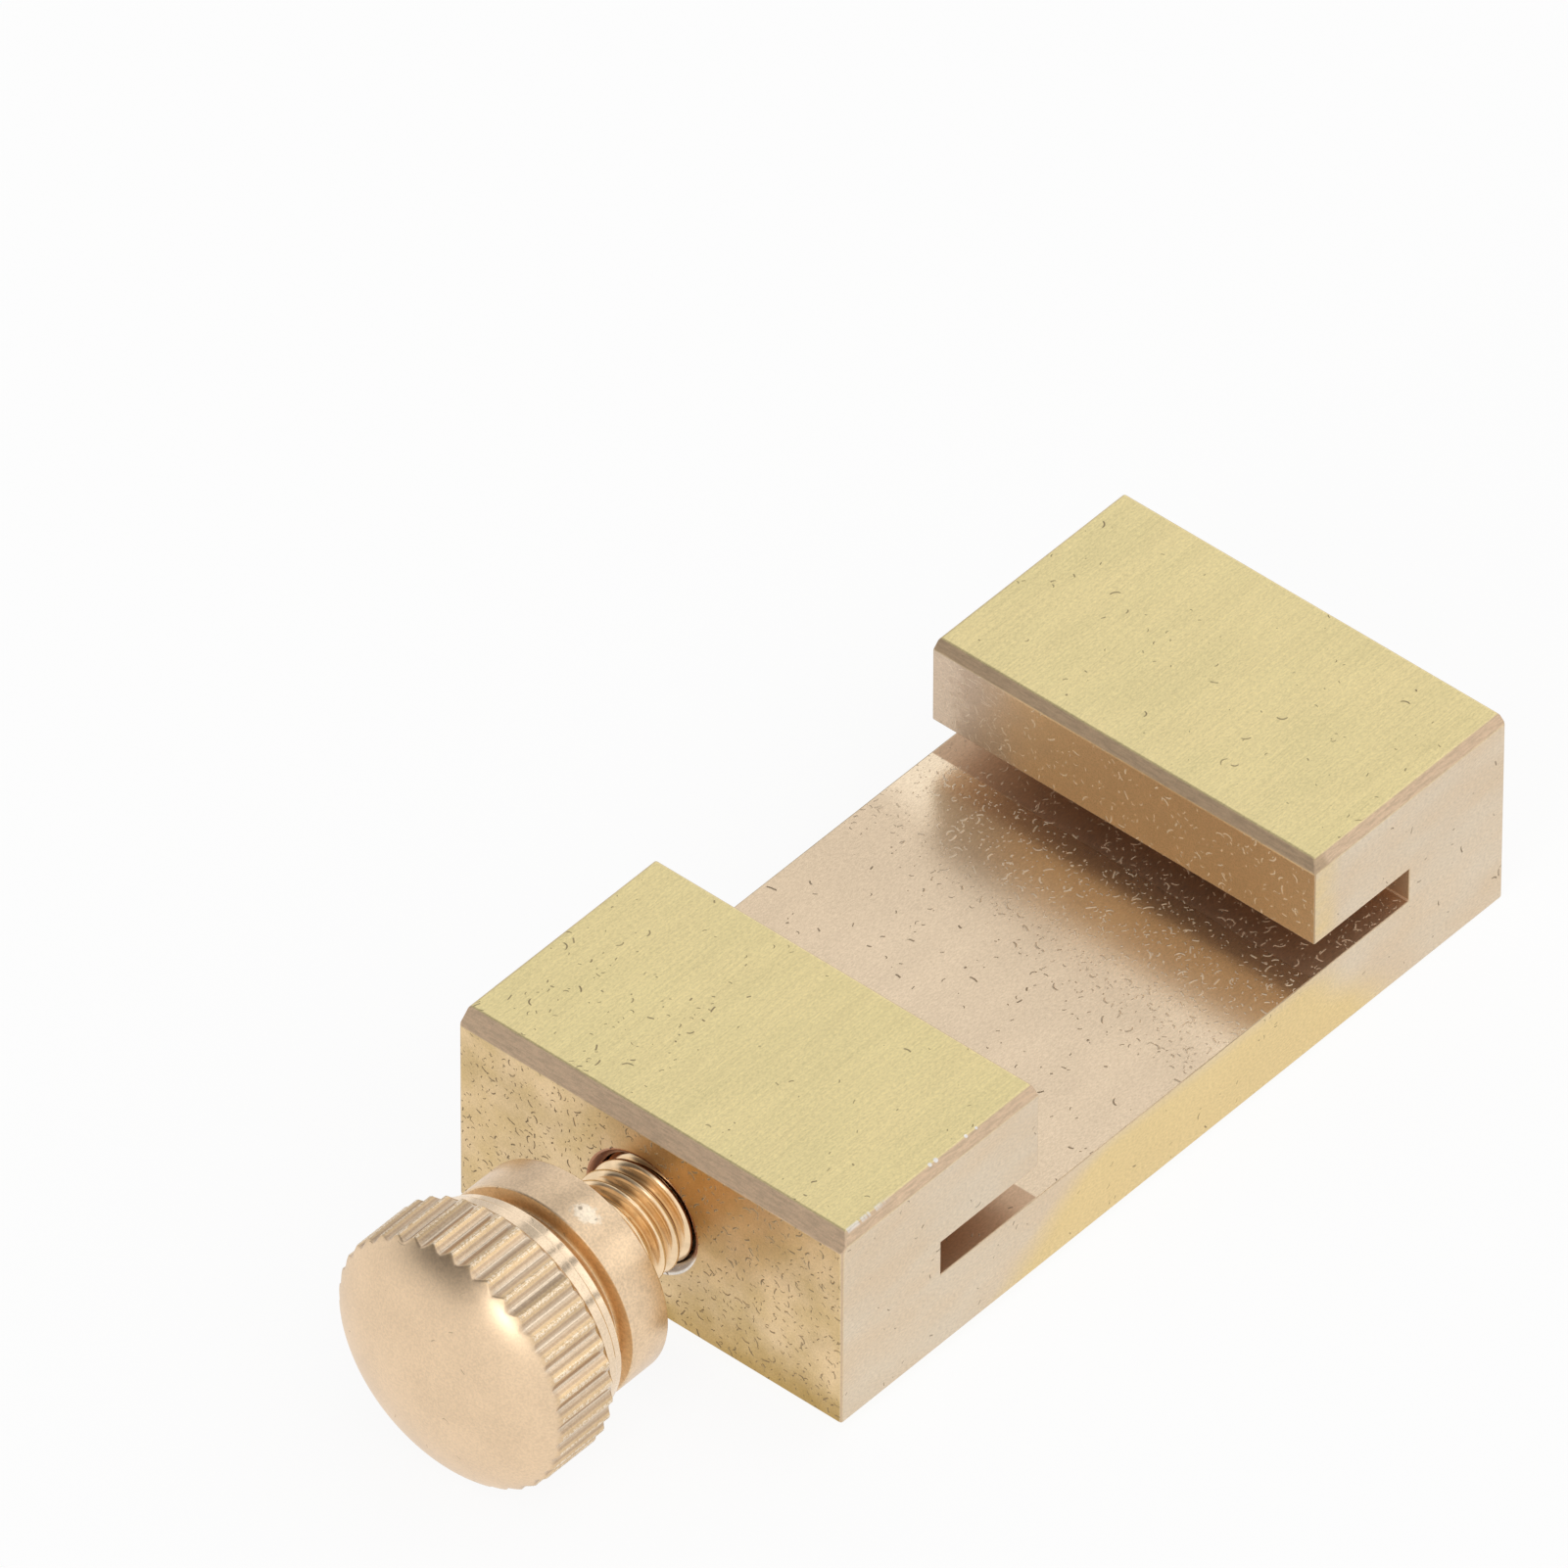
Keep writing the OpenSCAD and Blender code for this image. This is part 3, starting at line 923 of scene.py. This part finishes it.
def make_block():
    """The block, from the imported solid: its flat faces made whole again, and every edge eased."""
    edit = bmesh.new()
    edit.from_mesh(frame["nodes"]["block_body"].data)
    bmesh.ops.remove_doubles(edit, verts=edit.verts, dist=WELD)
    bmesh.ops.dissolve_limit(edit, angle_limit=FLAT_ANGLE, verts=edit.verts, edges=edit.edges)
    mesh = bpy.data.meshes.new("block")
    edit.to_mesh(mesh)
    edit.free()
    mesh.materials.clear()
    mesh.materials.append(ground_brass("ground brass"))
    piece = mesh_object("block_raw", mesh)
    ease = piece.modifiers.new("eased edges", "BEVEL")
    ease.width = EASE
    ease.segments = EASE_STEPS
    ease.limit_method = "ANGLE"
    ease.angle_limit = EASE_ANGLE
    piece = plain_mesh(piece, "block")
    for face in piece.data.polygons:
        face.use_smooth = face.area < LEAST_FLAT
    finish_piece(piece, "block", "ground_brass", "block_body")
    return piece


def rounded(points, radius):
    """An outline with each inner corner turned into a small arc."""
    out = [points[0]]
    for before, corner, after in zip(points, points[1:], points[2:]):
        a, b, c = Vector(before), Vector(corner), Vector(after)
        into, away = (b - a).normalized(), (c - b).normalized()
        turn = into.angle(away)
        if turn < LEAST_TURN:
            out.append(corner)
            continue
        longest = min((b - a).length, (c - b).length) * LONGEST_SETBACK
        setback = min(radius * math.tan(turn / 2), longest)
        start, end = b - into * setback, b + away * setback
        for step in range(ARC_STEPS + 1):
            t = step / ARC_STEPS
            point = start * (1 - t) ** 2 + b * 2 * t * (1 - t) + end * t * t
            out.append((point.x, point.y))
    return out + [points[-1]]


def head_outline():
    """Radius, and distance out from the collar's thread side."""
    first = COLLAR_L + CONE_L
    second = first + FIRST_BAND_L
    foot = COLLAR_L + BANDS_L
    rim = foot + RIM_BEVEL_L
    dome = rim + KNURL_L
    turned = rounded(
        [
            (0, 0),
            (COLLAR_R, 0),
            (COLLAR_R, COLLAR_L),
            (NECK_R, COLLAR_L),
            (BAND_R, first),
            (BAND_R, second),
            (BAND_R + BAND_STEP, second),
            (BAND_R + BAND_STEP, foot),
            (RIM_FOOT_R, foot),
            (RIM_R, rim),
            (RIM_R, dome),
        ],
        CORNER_ROUND,
    )
    for row in range(DOME_ROWS + 1):
        share = math.cos(math.pi / 2 * row / DOME_ROWS)
        rise = DOME_H * (1 - share**DOME_FLAT) ** (1 / DOME_ROUND)
        turned.append((RIM_R * share, dome + rise))
    return turned


def outline_object(name, outline):
    """An outline as a line of vertices, radius along X and distance along Y."""
    mesh = bpy.data.meshes.new(name)
    vertices = [(r, -d, 0) for r, d in outline]
    edges = [(i, i + 1) for i in range(len(vertices) - 1)]
    mesh.from_pydata(vertices, edges, [])
    return mesh_object(name, mesh)


class Pattern:
    """A geometry tree with named inputs, used as a modifier."""

    def __init__(self, name, inputs):
        self.tree = bpy.data.node_groups.new(name, "GeometryNodeTree")
        self.graph = Graph(self.tree)
        face = self.tree.interface
        face.new_socket("Geometry", in_out="INPUT", socket_type="NodeSocketGeometry")
        self.ids = {}
        for label, value in inputs.items():
            kind = "NodeSocketInt" if isinstance(value, int) else "NodeSocketFloat"
            kind = "NodeSocketMaterial" if isinstance(value, bpy.types.Material) else kind
            made = face.new_socket(label, in_out="INPUT", socket_type=kind)
            self.ids[label] = (made.identifier, value)
        face.new_socket("Geometry", in_out="OUTPUT", socket_type="NodeSocketGeometry")
        self.start = self.graph.add("NodeGroupInput")

    def __getitem__(self, label):
        return self.start.sibling(label)

    def close(self, geometry):
        """Ends the tree: instances made real, and the material set."""
        g = self.graph
        real = g.add("GeometryNodeRealizeInstances", None, {"Geometry": geometry})
        smooth = g.add("GeometryNodeSetShadeSmooth", None, {"Geometry": real, "Shade Smooth": True})
        values = {"Geometry": smooth, "Material": self["Material"]}
        g.add("NodeGroupOutput", None, {"Geometry": g.add("GeometryNodeSetMaterial", None, values)})

    def run(self, piece, name):
        """The tree's result on the piece, as a plain mesh."""
        modifier = piece.modifiers.new(self.tree.name, "NODES")
        modifier.node_group = self.tree
        for identifier, value in self.ids.values():
            modifier[identifier] = value
        return plain_mesh(piece, name)


def revolve(g, outline, sides):
    """The outline turned around the Z axis, its distance along +Z."""
    line = g.add("GeometryNodeMeshToCurve", None, {"Mesh": outline})
    values = {"Resolution": sides, "Radius": RING_R}
    ring = g.add("GeometryNodeCurvePrimitiveCircle", {"mode": "RADIUS"}, values)
    return g.add("GeometryNodeCurveToMesh", None, {"Curve": ring, "Profile Curve": line})


def merged(g, geometry):
    """The geometry with points that meet made one."""
    return g.add("GeometryNodeMergeByDistance", None, {"Geometry": geometry, "Distance": MERGE})


def knurled_head(material):
    """The screw's head and collar: a turned outline, cut back to the knurl's grooves."""
    pattern = Pattern(
        "knurled head",
        {
            "Teeth": TEETH,
            "Columns per tooth": COLUMNS_PER_TOOTH,
            "Rim radius": RIM_R,
            "Groove depth": GROOVE_DEPTH,
            "Crest share": CREST_SHARE,
            "Crest rounding": CREST_ROUND,
            "Valley rounding": VALLEY_ROUND,
            "Material": material,
        },
    )
    g = pattern.graph
    sides = pattern["Teeth"] * pattern["Columns per tooth"]
    turned = revolve(g, pattern["Geometry"], sides)
    x, y, z = g.split(g.add("GeometryNodeInputPosition"))
    radius = g.distance(x, y)
    turn = g.math("ARCTAN2", y, x) / (2 * math.pi)
    phase = g.math("FRACT", turn * pattern["Teeth"] + pattern["Teeth"])
    climb = (1 - abs(2 * phase - 1)) / (1 - pattern["Crest share"])
    depth = pattern["Groove depth"]
    valley = pattern["Rim radius"] - depth
    flank = valley + climb * depth
    tooth = g.math("SMOOTH_MIN", flank, pattern["Rim radius"], pattern["Crest rounding"])
    tooth = g.math("SMOOTH_MAX", tooth, valley, pattern["Valley rounding"])
    cut = g.least(radius, tooth)
    keep = cut / g.most(radius, MERGE)
    place = g.vector(x * keep, y * keep, z)
    moved = g.add("GeometryNodeSetPosition", None, {"Geometry": turned, "Position": place})
    pattern.close(merged(g, moved))
    outline = [(r - RING_R, d) for r, d in head_outline()]
    return pattern.run(outline_object("head_outline", outline), "screw_head")


def stand_on_axis(piece, y):
    """Turns a piece made along +Z to run along -Y, from the place y on the screw's axis."""
    turn = Matrix.Translation((AXIS_X, y, AXIS_Z)) @ Matrix.Rotation(math.pi / 2, 4, "X")
    piece.data.transform(turn)


def screw_thread(material):
    """A strip one pitch wide, wound around the screw's axis. Its last turn fades to the root."""
    length = THREAD_END - COLLAR_Y
    pattern = Pattern(
        "screw thread",
        {
            "Sides": THREAD_SIDES,
            "Turns": math.ceil((length + BURIED) / THREAD_PITCH) + SPARE_TURNS,
            "Pitch": THREAD_PITCH,
            "Root radius": ROOT_R,
            "Crest radius": THREAD_R,
            "Low end": -length,
            "High end": BURIED,
            "Material": material,
        },
    )
    g = pattern.graph
    columns = pattern["Sides"] * pattern["Turns"] + 1
    sizes = {"Vertices X": columns, "Vertices Y": THREAD_ROWS}
    strip = g.add("GeometryNodeMeshGrid", None, sizes)
    index = g.add("GeometryNodeInputIndex")
    column = g.math("FLOOR", (index + 0.5) / THREAD_ROWS)
    row = index - column * THREAD_ROWS
    turn = column / pattern["Sides"]
    share = row / (THREAD_ROWS - 1)
    ridge = 1 - abs(2 * share - 1)
    crest = g.step(ridge, RIDGE_FOOT, RIDGE_TOP)
    height = (turn + share - LEAD_TURNS) * pattern["Pitch"] + pattern["Low end"]
    depth = pattern["Crest radius"] - pattern["Root radius"]
    full = pattern["Root radius"] + crest * depth
    faded = pattern["Root radius"] + (height - pattern["Low end"]) * FADE_SLOPE
    radius = g.most(g.least(full, faded), pattern["Root radius"] * FADED_SHARE)
    angle = turn * (2 * math.pi)
    kept = g.least(g.most(height, pattern["Low end"]), pattern["High end"])
    place = g.vector(radius * g.math("COSINE", angle), radius * g.math("SINE", angle), kept)
    wound = g.add("GeometryNodeSetPosition", None, {"Geometry": strip, "Position": place})
    pattern.close(merged(g, wound))
    mesh = bpy.data.meshes.new("thread_start")
    return pattern.run(mesh_object("thread_start", mesh), "screw_thread")


def screw_end(material):
    """The screw's plain end, with an eased bevel."""
    length = POINT_END - THREAD_END
    corners = [(0, 0), (ROOT_R - END_BEVEL, 0), (ROOT_R, END_BEVEL), (ROOT_R, length), (0, length)]
    pattern = Pattern("turned end", {"Sides": END_SIDES, "Material": material})
    g = pattern.graph
    pattern.close(merged(g, revolve(g, pattern["Geometry"], pattern["Sides"])))
    shifted = [(r - RING_R, d) for r, d in rounded(corners, END_ROUND)]
    return pattern.run(outline_object("end_outline", shifted), "screw_end")


def make_screw():
    material = turned_brass("turned brass")
    thread_material = cut_thread("cut thread")
    pieces = (
        (knurled_head(material), COLLAR_Y, "screw", "thumb_screw"),
        (screw_thread(thread_material), COLLAR_Y, "screw", "thumb_screw"),
        (screw_end(thread_material), POINT_END, "point", "screw_point"),
    )
    for piece, y, body, node in pieces:
        close_ends(piece.data)
        stand_on_axis(piece, y)
        finish_piece(piece, body, "turned_brass", node)


def make_camera():
    azimuth, elevation = math.radians(CAMERA_AZIMUTH), math.radians(CAMERA_ELEVATION)
    back = Vector(
        (
            math.sin(azimuth) * math.cos(elevation),
            -math.cos(azimuth) * math.cos(elevation),
            math.sin(elevation),
        )
    )
    level = Vector((math.cos(azimuth), math.sin(azimuth), 0))
    upright = back.cross(level)
    roll = math.radians(CAMERA_ROLL)
    right = level * math.cos(roll) + upright * math.sin(roll)
    up = upright * math.cos(roll) - level * math.sin(roll)
    foot = Vector(((BLOCK_LOW.x + BLOCK_HIGH.x) / 2, BLOCK_LOW.y, BLOCK_LOW.z))
    data = bpy.data.cameras.new("camera")
    data.lens, data.sensor_width = CAMERA_LENS, SENSOR
    data.clip_start, data.clip_end = CLIP
    camera = bpy.data.objects.new("camera", data)
    turn = Matrix((right, up, back)).transposed().to_4x4()
    place = foot + right * AIM_RIGHT + up * AIM_UP + back * CAMERA_DISTANCE
    camera.matrix_world = Matrix.Translation(place) @ turn
    bpy.context.scene.collection.objects.link(camera)
    bpy.context.scene.camera = camera


def make_floor():
    """A white table. It touches the far edge of the block's back and the low side of the head."""
    low_front = Vector((0, DOME_TIP + DOME_H + KNURL_L, AXIS_Z - RIM_R))
    low_back = Vector((0, BLOCK_HIGH.y, BLOCK_LOW.z))
    tilt = math.atan2(low_back.z - low_front.z, low_back.y - low_front.y)
    mesh = bpy.data.meshes.new("table")
    turns = ((-1, -1), (1, -1), (1, 1), (-1, 1))
    corners = [(across * TABLE_HALF, along * TABLE_HALF, 0) for across, along in turns]
    mesh.from_pydata(corners, [], [(0, 1, 2, 3)])
    table = mesh_object("table", mesh)
    table.matrix_world = Matrix.Translation(low_back) @ Matrix.Rotation(tilt, 4, "X")
    material, g = new_material("white table")
    path = g.add("ShaderNodeLightPath", None, None, "Is Camera Ray")
    seen = g.most(path, path.sibling("Is Glossy Ray"), path.sibling("Is Transmission Ray"))
    paint = g.add("ShaderNodeBsdfDiffuse", None, {"Color": TABLE_PAINT})
    white = g.add("ShaderNodeEmission", None, {"Color": (1, 1, 1, 1), "Strength": 1.0})
    both = g.add("ShaderNodeMixShader", None, {0: seen * TABLE_WHITE, 1: paint, 2: white})
    g.add("ShaderNodeOutputMaterial", None, {"Surface": both})
    mesh.materials.append(material)


# Colours of the surroundings
SKY_WHITE = (1.06, 1.06, 1.06)
SKY_LEFT = (0.72, 0.72, 0.73)
SKY_DARK = (0.13, 0.12, 0.115)
SKY_BAR = (0.20, 0.19, 0.185)
SKY_WINDOW = (1.5, 1.5, 1.48)
SKY_SHELF = (0.62, 0.62, 0.62)
# Dark places: the direction, the cosines from it where the dark begins and is full, and its share
DARK_PLACES = (
    ((-0.45, -0.80, 0.38), (0.84, 0.94), 1.0),
    ((-0.45, -0.25, 0.86), (0.74, 0.95), 0.84),
)
# Places in degrees round the Y axis, up from +X: half their width, from where they begin to full
BARS = ((20, 4), (59, 5), (78, 3))
BAR_EDGE = 0.5
BAR_SHARE = 0.8
WINDOW_AT = 53
WINDOW_WIDTH = (43, 40)
SHELF_AT = 107
SHELF_WIDTH = (12, 9)
# Limits along Y and along X of the direction looked in
BACK_NEAR = (0.25, 0.4)
BACK_FAR = (0.9, 0.75)
WINDOW_DEEP = 0.55
WINDOW_DEPTH = (0.15, 0.10)
LEFT_X = (-0.52, -0.74)
LEFT_Y = (-0.3, 0.1)
# Lamps: name, place, width, height and power
LAMPS = (
    ("strip", (0.21, -0.76, 0.61), 0.19, 0.40, 0.5),
    ("spot", (0.10, -0.97, 0.22), 0.08, 0.24, 0.85),
)


def make_light():
    """A white studio with a window, a few dark places that the brass shows, and two lamps."""
    world = bpy.data.worlds.new("studio")
    bpy.context.scene.world = world
    world.use_nodes = True
    world.node_tree.nodes.clear()
    g = Graph(world.node_tree)
    direction = g.add("ShaderNodeTexCoord", None, None, "Generated")
    across, deep, up = g.split(direction)
    dark = 0
    for place, limits, share in DARK_PLACES:
        values = {0: direction, 1: tuple(Vector(place).normalized())}
        towards = g.add("ShaderNodeVectorMath", {"operation": "DOT_PRODUCT"}, values, "Value")
        dark = g.most(dark, g.step(towards, *limits) * share)
    around = g.math("ARCTAN2", up, across) * (180 / math.pi)
    bars = 0
    for place, width in BARS:
        bars = g.most(bars, g.step(abs(around - place), width, width * BAR_EDGE))
    back = g.step(deep, *BACK_NEAR) * g.step(deep, *BACK_FAR)
    window = g.step(abs(around - WINDOW_AT), *WINDOW_WIDTH)
    window = window * g.step(abs(deep - WINDOW_DEEP), *WINDOW_DEPTH)
    shelf = g.step(abs(around - SHELF_AT), *SHELF_WIDTH) * back
    left = g.step(across, *LEFT_X) * g.step(deep, *LEFT_Y)
    colour = g.mix(left, SKY_WHITE, SKY_LEFT)
    colour = g.mix(shelf, colour, SKY_SHELF)
    colour = g.mix(window, colour, SKY_WINDOW)
    colour = g.mix(dark, colour, SKY_DARK)
    colour = g.mix(bars * back * BAR_SHARE, colour, SKY_BAR)
    sky = g.add("ShaderNodeBackground", None, {"Color": colour, "Strength": 1.0})
    g.add("ShaderNodeOutputWorld", None, {"Surface": sky})
    for lamp in LAMPS:
        softbox(*lamp)


def softbox(name, place, width, height, power):
    """A long lamp that faces the block."""
    data = bpy.data.lights.new(name, "AREA")
    data.shape = "RECTANGLE"
    data.size, data.size_y, data.energy = width, height, power
    lamp = bpy.data.objects.new(name, data)
    lamp.location = place
    lamp.rotation_euler = (-Vector(place)).to_track_quat("-Z", "Y").to_euler()
    bpy.context.scene.collection.objects.link(lamp)


make_camera()
make_floor()
make_light()
make_block()
make_screw()

bpy.context.scene.view_settings.view_transform = "Standard"
